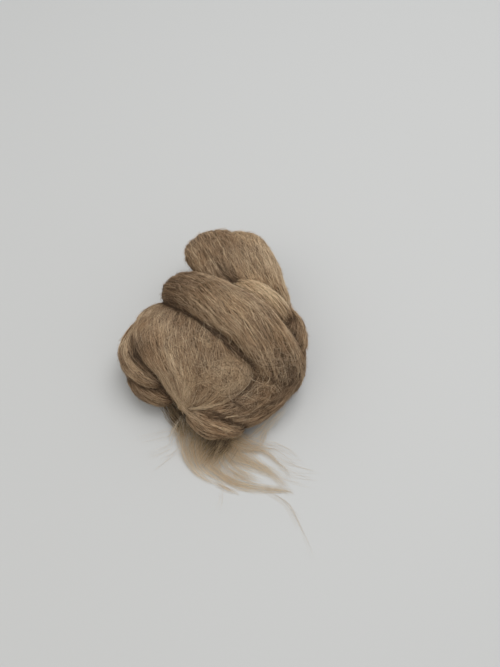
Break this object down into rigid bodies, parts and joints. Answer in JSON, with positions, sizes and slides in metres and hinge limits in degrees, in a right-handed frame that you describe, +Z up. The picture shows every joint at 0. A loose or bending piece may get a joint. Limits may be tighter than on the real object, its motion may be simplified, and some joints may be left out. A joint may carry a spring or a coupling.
{
  "type": "nest of wool roving",
  "caption": "Soft nest of combed taupe wool roving, folded back on itself into plump overlapping bundles, with a drafted end that fans out in thin locks.",
  "frame": {"origin": "on the table, under the middle of the whole piece's box, with the drafted end counted in", "axes": "+Y points away from the drafted end, towards the back of the nest; +Z is up; +X is the side that the drafted end sweeps to"},
  "size_m": [0.0914, 0.1552, 0.0453],
  "materials": {
    "combed_wool": "matt taupe wool fibres lying side by side, with lighter and darker streaks along them",
    "drafted_wool": "the same wool drawn thin, so that it looks lighter and lets the table show through"
  },
  "bodies": {
    "root": {"nest": "combed_wool", "loose_end": "drafted_wool"}
  },
  "joints": []
}
